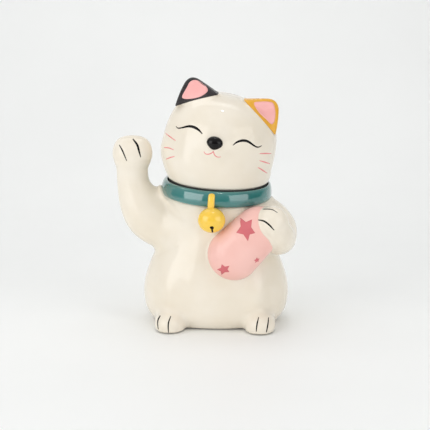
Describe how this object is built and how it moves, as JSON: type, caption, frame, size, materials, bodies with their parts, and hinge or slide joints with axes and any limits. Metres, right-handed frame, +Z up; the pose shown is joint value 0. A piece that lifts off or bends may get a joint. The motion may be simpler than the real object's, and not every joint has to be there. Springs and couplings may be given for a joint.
{
  "type": "beckoning cat jar",
  "caption": "Glazed ceramic beckoning cat with one raised paw, a collar with a bell, a star pouch and a hollow body whose head lifts off as the lid.",
  "frame": {"origin": "centre of the flat underside that the jar stands on", "axes": "+Z up through the jar, -Y to the cat's face and bell, +X to the cat's left, the paw that holds the pouch"},
  "size_m": [0.1794, 0.1369, 0.2425],
  "materials": {
    "cream_glaze": "clear gloss glaze over a cream engobe",
    "teal_glaze": "gloss teal glaze",
    "yellow_glaze": "gloss yellow glaze",
    "pink_glaze": "gloss pink glaze with darker painted stars",
    "black_glaze": "gloss charcoal glaze with a pink inner face",
    "orange_glaze": "gloss ochre glaze with a pink inner face",
    "nose_glaze": "high gloss black glaze",
    "seal_rubber": "satin dark silicone"
  },
  "bodies": {
    "jar": {"jar_body": "cream_glaze", "raised_arm": "cream_glaze", "holding_arm": "cream_glaze", "right_foot": "cream_glaze", "left_foot": "cream_glaze", "tail": "cream_glaze", "collar": "teal_glaze", "bell": "yellow_glaze", "bell_strap": "yellow_glaze", "pouch": "pink_glaze"},
    "seal": {"lid_seal": "seal_rubber"},
    "head": {"head_lid": "cream_glaze", "right_ear": "black_glaze", "left_ear": "orange_glaze", "nose": "nose_glaze"}
  },
  "joints": [
    {"name": "lid_lift", "type": "slide", "parent": "jar", "child": "seal", "axis": [0.0523, -0.0784, 0.9956], "range_m": [0, 0.12]},
    {"name": "head_turn", "type": "hinge", "parent": "seal", "child": "head", "pos_m": [0.002, 0, 0.1415], "axis": [0.0523, -0.0784, 0.9956], "continuous": true}
  ]
}
